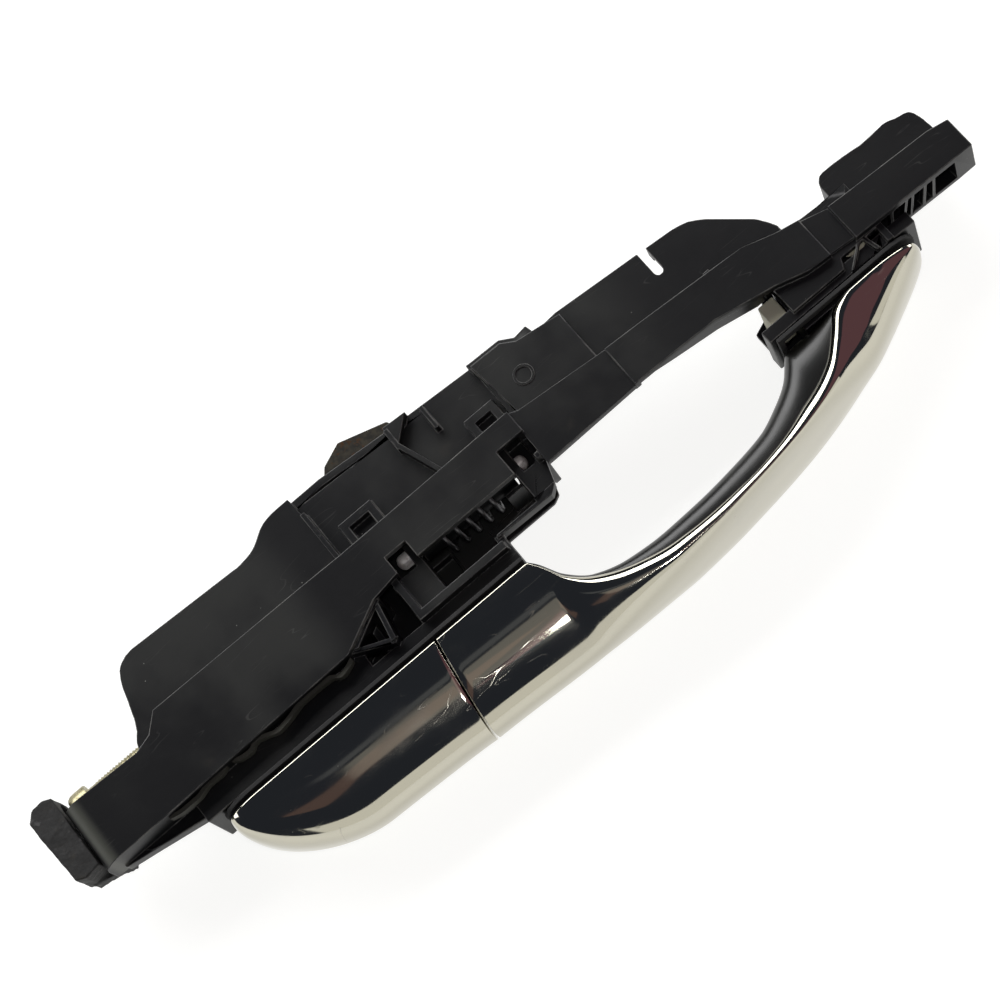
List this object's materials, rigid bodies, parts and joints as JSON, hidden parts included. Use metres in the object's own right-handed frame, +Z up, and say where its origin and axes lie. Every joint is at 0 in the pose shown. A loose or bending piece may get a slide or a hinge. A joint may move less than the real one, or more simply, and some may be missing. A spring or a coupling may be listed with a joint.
{
  "type": "car door pull handle",
  "caption": "Exterior pull handle for a car door: hinged chrome grip and fixed cap on a ribbed black carrier with its release lever",
  "frame": {"origin": "inner face of the door skin, at the joint between fixed cap and moving grip, at half the handle's height", "axes": "+X along the handle towards its hinged front end, +Y into the door, +Z up; the street side is -Y"},
  "size_m": [0.3077, 0.0948, 0.0284],
  "materials": {
    "black_nylon": "glass-filled nylon, moulded, satin",
    "satin_black": "black moulding, low sheen",
    "black_rubber": "matt rubber",
    "end_foam": "dense sealing foam, rough",
    "chrome_plate": "bright chrome plate on a moulding",
    "bright_steel": "ground steel pin, light rust on the ends",
    "spring_steel": "oiled spring wire",
    "yellow_zinc": "yellow-passivated zinc plate",
    "grey_zinc": "zinc casting or zinc-plated steel, dull",
    "natural_nylon": "uncoloured nylon"
  },
  "bodies": {
    "carrier": {"carrier_frame": "black_nylon", "rear_gasket": "black_rubber", "front_gasket": "black_rubber", "end_seal_block": "end_foam", "front_captive_nut": "grey_zinc", "hinge_pin": "bright_steel", "lever_pin": "bright_steel", "inertia_pin": "bright_steel", "lever_bumper": "black_rubber", "cap_shell": "chrome_plate", "cap_base": "satin_black", "cap_clamp": "grey_zinc", "cap_screw": "yellow_zinc", "lever_spring": "spring_steel", "inertia_spring": "spring_steel"},
    "grip": {"grip_outer_shell": "chrome_plate", "grip_inner_shell": "satin_black", "grip_pull_arm": "black_nylon", "grip_hinge_arm": "black_nylon", "hinge_wear_pad": "natural_nylon", "grip_screw_rear": "grey_zinc", "grip_screw_front": "grey_zinc", "hinge_bush_upper": "natural_nylon", "hinge_bush_lower": "natural_nylon"},
    "lever": {"bell_crank_lever": "satin_black", "rod_clip": "natural_nylon"},
    "lock": {"inertia_lock": "grey_zinc"}
  },
  "joints": [
    {"name": "grip_hinge", "type": "hinge", "parent": "carrier", "child": "grip", "pos_m": [0.152, 0.009, 0], "axis": [0, 0, 1], "range_deg": [0, 5.5]},
    {"name": "lever_turn", "type": "hinge", "parent": "carrier", "child": "lever", "pos_m": [0.027, 0.022, 0.005], "axis": [-1, 0, 0], "range_deg": [0, 49.5], "stiffness_Nm_per_rad": 0.12, "springref_deg": -40.11},
    {"name": "lock_swing", "type": "hinge", "parent": "carrier", "child": "lock", "pos_m": [-0.002, 0.047, 0], "axis": [0, 0, -1], "range_deg": [0, 6], "stiffness_Nm_per_rad": 0.02, "springref_deg": -20.05}
  ],
  "couplings": [
    {"joint": "lever_turn", "follows": "grip_hinge", "ratio": 9}
  ]
}
